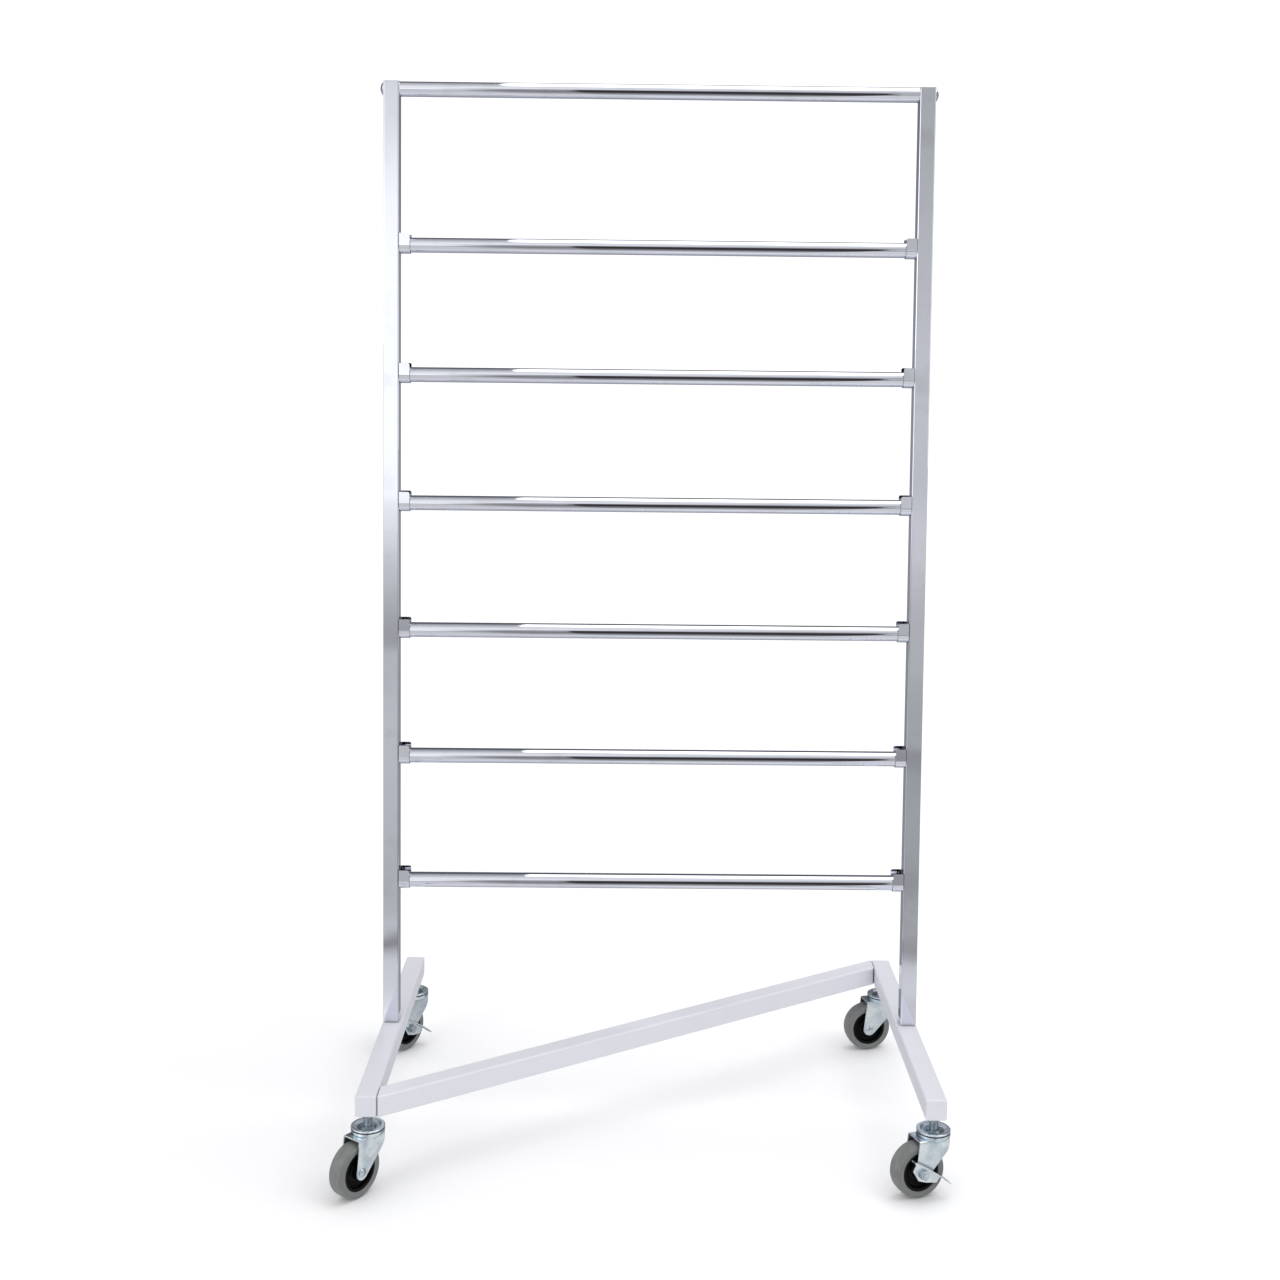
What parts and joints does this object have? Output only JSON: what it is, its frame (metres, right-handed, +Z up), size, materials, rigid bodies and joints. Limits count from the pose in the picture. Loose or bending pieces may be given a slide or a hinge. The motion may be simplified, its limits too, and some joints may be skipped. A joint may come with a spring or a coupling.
{
  "type": "rolling clothes rack",
  "caption": "Rolling clothes rack with a Z-shaped square-tube base on swivel casters, slim uprights, a fixed top hang bar and lift-out round crossbars in open-topped brackets.",
  "frame": {"origin": "on the floor under the middle of the rack's overall outline, with the casters turned as drawn", "axes": "+Z up the uprights, +X along the hang bars from the left upright to the right one as seen from the front, +Y from the front to the back"},
  "size_m": [0.9216, 0.6014, 1.6773],
  "materials": {
    "base_paint": "semi-gloss powder coat",
    "chrome": "bright plated",
    "zinc": "bright zinc plated",
    "plain_steel": "as machined",
    "hub_plastic": "moulded black",
    "tyre": "smooth grey thermoplastic rubber"
  },
  "bodies": {
    "frame": {"left_base_rail": "base_paint", "right_base_rail": "base_paint", "diagonal_base_rail": "base_paint", "base_rail_end_plugs": "base_paint", "diagonal_end_plates": "plain_steel", "upright_foot_plugs": "plain_steel", "caster_weld_nuts": "plain_steel", "top_hang_bar_inserts": "plain_steel", "diagonal_joint_bolts": "zinc", "upright_foot_bolts": "zinc", "caster_stems": "zinc", "caster_lock_nuts": "zinc", "caster_raceways": "zinc", "caster_swivel_balls": "zinc", "bracket_screws": "zinc", "left_upright": "chrome", "right_upright": "chrome", "top_hang_bar": "chrome", "top_hang_bar_bolts": "chrome", "left_bracket_1": "chrome", "left_bracket_2": "chrome", "left_bracket_3": "chrome", "left_bracket_4": "chrome", "left_bracket_5": "chrome", "left_bracket_6": "chrome", "right_bracket_1": "chrome", "right_bracket_2": "chrome", "right_bracket_3": "chrome", "right_bracket_4": "chrome", "right_bracket_5": "chrome", "right_bracket_6": "chrome", "left_upright_cap": "chrome", "right_upright_cap": "chrome"},
    "crossbar_1": {"crossbar_1": "chrome"},
    "crossbar_2": {"crossbar_2": "chrome"},
    "crossbar_3": {"crossbar_3": "chrome"},
    "crossbar_4": {"crossbar_4": "chrome"},
    "crossbar_5": {"crossbar_5": "chrome"},
    "crossbar_6": {"crossbar_6": "chrome"},
    "front_left_swivel": {"front_left_fork": "zinc", "front_left_axle": "zinc"},
    "front_left_wheel": {"front_left_hub": "hub_plastic", "front_left_tyre": "tyre"},
    "front_right_swivel": {"front_right_fork": "zinc", "front_right_axle": "zinc", "front_right_axle_nut": "zinc"},
    "front_right_wheel": {"front_right_hub": "hub_plastic", "front_right_tyre": "tyre"},
    "front_right_brake": {"front_right_brake_lever": "zinc"},
    "back_left_swivel": {"back_left_fork": "zinc", "back_left_axle": "zinc", "back_left_axle_nut": "zinc"},
    "back_left_wheel": {"back_left_hub": "hub_plastic", "back_left_tyre": "tyre"},
    "back_left_brake": {"back_left_brake_lever": "zinc"},
    "back_right_swivel": {"back_right_fork": "zinc", "back_right_axle": "zinc"},
    "back_right_wheel": {"back_right_hub": "hub_plastic", "back_right_tyre": "tyre"}
  },
  "joints": [
    {"name": "crossbar_1_lift_out", "type": "slide", "parent": "frame", "child": "crossbar_1", "axis": [0, 0, 1], "range_m": [0, 0.06]},
    {"name": "crossbar_2_lift_out", "type": "slide", "parent": "frame", "child": "crossbar_2", "axis": [0, 0, 1], "range_m": [0, 0.06]},
    {"name": "crossbar_3_lift_out", "type": "slide", "parent": "frame", "child": "crossbar_3", "axis": [0, 0, 1], "range_m": [0, 0.06]},
    {"name": "crossbar_4_lift_out", "type": "slide", "parent": "frame", "child": "crossbar_4", "axis": [0, 0, 1], "range_m": [0, 0.06]},
    {"name": "crossbar_5_lift_out", "type": "slide", "parent": "frame", "child": "crossbar_5", "axis": [0, 0, 1], "range_m": [0, 0.06]},
    {"name": "crossbar_6_lift_out", "type": "slide", "parent": "frame", "child": "crossbar_6", "axis": [0, 0, 1], "range_m": [0, 0.06]},
    {"name": "front_left_swivel", "type": "hinge", "parent": "frame", "child": "front_left_swivel", "pos_m": [-0.4108, -0.2409, 0.09], "axis": [0, 0, 1], "continuous": true},
    {"name": "front_left_wheel_spin", "type": "hinge", "parent": "front_left_swivel", "child": "front_left_wheel", "pos_m": [-0.42748, -0.26264, 0.0404], "axis": [0.7934, -0.6088, 0], "continuous": true},
    {"name": "front_right_swivel", "type": "hinge", "parent": "frame", "child": "front_right_swivel", "pos_m": [0.4352, -0.2409, 0.09], "axis": [0, 0, 1], "continuous": true},
    {"name": "front_right_wheel_spin", "type": "hinge", "parent": "front_right_swivel", "child": "front_right_wheel", "pos_m": [0.40962, -0.25072, 0.0404], "axis": [0.3584, -0.9336, 0], "continuous": true},
    {"name": "front_right_brake_press", "type": "hinge", "parent": "front_right_swivel", "child": "front_right_brake", "pos_m": [0.40962, -0.25072, 0.0404], "axis": [-0.3584, 0.9336, 0], "range_deg": [0, 12]},
    {"name": "back_left_swivel", "type": "hinge", "parent": "frame", "child": "back_left_swivel", "pos_m": [-0.4108, 0.2751, 0.09], "axis": [0, 0, 1], "continuous": true},
    {"name": "back_left_wheel_spin", "type": "hinge", "parent": "back_left_swivel", "child": "back_left_wheel", "pos_m": [-0.42671, 0.25279, 0.0404], "axis": [0.8141, -0.5807, 0], "continuous": true},
    {"name": "back_left_brake_press", "type": "hinge", "parent": "back_left_swivel", "child": "back_left_brake", "pos_m": [-0.42671, 0.25279, 0.0404], "axis": [-0.8141, 0.5807, 0], "range_deg": [0, 12]},
    {"name": "back_right_swivel", "type": "hinge", "parent": "frame", "child": "back_right_swivel", "pos_m": [0.4352, 0.2751, 0.09], "axis": [0, 0, 1], "continuous": true},
    {"name": "back_right_wheel_spin", "type": "hinge", "parent": "back_right_swivel", "child": "back_right_wheel", "pos_m": [0.4084, 0.2694, 0.0404], "axis": [0.2079, -0.9781, 0], "continuous": true}
  ]
}
